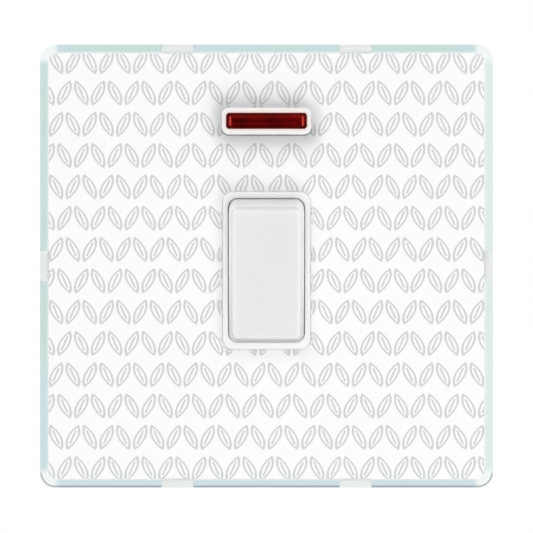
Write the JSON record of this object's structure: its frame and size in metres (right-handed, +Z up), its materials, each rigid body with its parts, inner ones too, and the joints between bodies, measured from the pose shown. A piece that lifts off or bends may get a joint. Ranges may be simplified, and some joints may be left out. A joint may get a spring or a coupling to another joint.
{
  "type": "double pole switch",
  "caption": "One gang double pole rocker switch with a neon lamp, for a flush wall box, under a clear clip-on front plate that frames a sheet of wallpaper.",
  "frame": {"origin": "on the wall plane, midway between the two fixing holes, which is the centre of the plate", "axes": "+Z up, +X right as seen from the front, and the front faces -Y, out of the wall"},
  "size_m": [0.09, 0.033, 0.088],
  "materials": {
    "clear_acrylic": "polished clear sheet with a pale green edge",
    "wallpaper": "matt printed paper with a pale grey motif",
    "white_moulding": "glossy white moulded thermoset",
    "housing_moulding": "fine matt moulded",
    "red_lens": "clear red moulded lens",
    "lamp_glass": "clear blown glass",
    "resistor_body": "lacquered, plain",
    "lead_sleeve": "soft insulating sleeve",
    "plated_steel": "zinc plated",
    "silver_alloy": "bright silver alloy rivet",
    "plunger_nylon": "natural moulded",
    "spring_steel": "drawn wire",
    "brass": "pressed and milled brass"
  },
  "bodies": {
    "wall_assembly": {"body_screws": "plated_steel", "fixed_contact_left": "brass", "fixed_contact_right": "brass", "fixed_tips": "silver_alloy", "load_terminal_left": "brass", "load_terminal_right": "brass", "neon_back_cap": "white_moulding", "neon_lamp": "lamp_glass", "neon_leads": "lead_sleeve", "neon_lens": "red_lens", "neon_resistor": "resistor_body", "neon_surround": "white_moulding", "paper_insert": "wallpaper", "pivot_bracket_left": "brass", "pivot_bracket_right": "brass", "sub_plate": "white_moulding", "supply_terminal_left": "brass", "supply_terminal_right": "brass", "switch_base": "housing_moulding", "switch_cover": "white_moulding", "terminal_screws": "plated_steel"},
    "front": {"front_plate": "clear_acrylic"},
    "rocker_arm": {"rocker": "white_moulding", "plunger_spring_left": "spring_steel", "plunger_spring_right": "spring_steel"},
    "plunger_arm_left": {"plunger_left": "plunger_nylon"},
    "plunger_arm_right": {"plunger_right": "plunger_nylon"},
    "contact_arm_left": {"moving_contact_left": "brass", "moving_tip_left": "silver_alloy"},
    "contact_arm_right": {"moving_contact_right": "brass", "moving_tip_right": "silver_alloy"}
  },
  "joints": [
    {"name": "front_plate_pull", "type": "slide", "parent": "wall_assembly", "child": "front", "axis": [0, -1, 0], "range_m": [0, 0.02]},
    {"name": "rocker_tilt", "type": "hinge", "parent": "wall_assembly", "child": "rocker_arm", "pos_m": [0, -0.0036, -0.00087], "axis": [-1, 0, 0], "range_deg": [0, 15]},
    {"name": "plunger_slide_left", "type": "slide", "parent": "rocker_arm", "child": "plunger_arm_left", "axis": [0, 0.9914, 0.1305], "range_m": [-0.0008, 0], "stiffness_N_per_m": 150, "springref_m": 0.003, "deforming": ["plunger_spring_left"]},
    {"name": "contact_rock_left", "type": "hinge", "parent": "wall_assembly", "child": "contact_arm_left", "pos_m": [-0.004, 0.00995, -0.00087], "axis": [1, 0, 0], "range_deg": [0, 10]},
    {"name": "plunger_slide_right", "type": "slide", "parent": "rocker_arm", "child": "plunger_arm_right", "axis": [0, 0.9914, 0.1305], "range_m": [-0.0008, 0], "stiffness_N_per_m": 150, "springref_m": 0.003, "deforming": ["plunger_spring_right"]},
    {"name": "contact_rock_right", "type": "hinge", "parent": "wall_assembly", "child": "contact_arm_right", "pos_m": [0.004, 0.00995, -0.00087], "axis": [1, 0, 0], "range_deg": [0, 10]}
  ],
  "couplings": [
    {"joint": "contact_rock_left", "follows": "rocker_tilt", "ratio": 0.6666},
    {"joint": "contact_rock_right", "follows": "rocker_tilt", "ratio": 0.6666}
  ]
}
